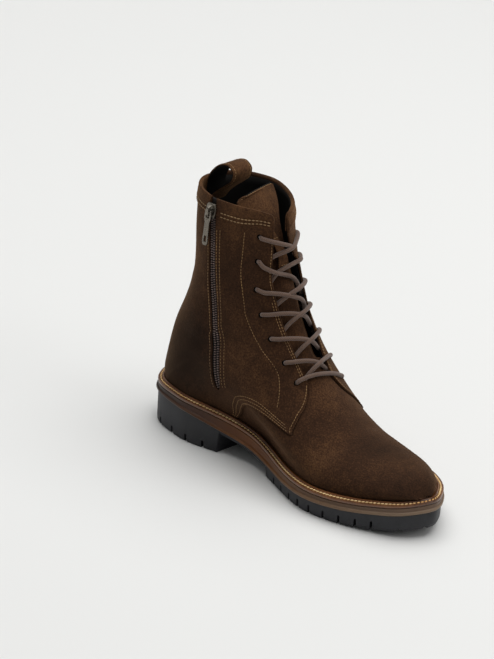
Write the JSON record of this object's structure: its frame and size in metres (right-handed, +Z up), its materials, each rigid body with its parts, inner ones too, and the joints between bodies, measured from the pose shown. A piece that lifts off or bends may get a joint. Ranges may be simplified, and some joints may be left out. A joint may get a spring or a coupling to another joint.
{
  "type": "lace-up ankle boot",
  "caption": "Left lace-up ankle boot: suede upper over a welted lug sole with a block heel, zip on the inner side, folded collar and a pull loop at the back.",
  "frame": {"origin": "on the floor, under the middle of the bounding box", "axes": "+X to the toe, +Y to the outer side of the foot, +Z up"},
  "size_m": [0.2778, 0.1008, 0.2151],
  "materials": {
    "suede": "dark brown suede, napped",
    "outsole_rubber": "matte black",
    "midsole_rubber": "satin brown",
    "welt_leather": "waxed brown, stitched",
    "insole_leather": "plain",
    "lace_cotton": "round braided cord",
    "tape": "woven tape with a nylon coil",
    "nickel": "antique nickel"
  },
  "bodies": {
    "boot": {"lug_outsole": "outsole_rubber", "midsole": "midsole_rubber", "welt": "welt_leather", "insole": "insole_leather", "upper": "suede", "tongue": "suede", "pull_loop": "suede", "zip_tape": "tape", "zip_slider": "nickel", "lace_keeper": "suede", "lace_bar": "lace_cotton", "lace_crossing_1": "lace_cotton", "lace_crossing_2": "lace_cotton", "lace_crossing_3": "lace_cotton", "lace_crossing_4": "lace_cotton", "lace_crossing_5": "lace_cotton", "lace_crossing_6": "lace_cotton"},
    "pull_tab": {"zip_pull": "nickel"}
  },
  "joints": [
    {"name": "zip_pull_hinge", "type": "hinge", "parent": "boot", "child": "pull_tab", "pos_m": [-0.07547, -0.0347, 0.18731], "axis": [-1, 0, 0], "range_deg": [0, 160]}
  ]
}
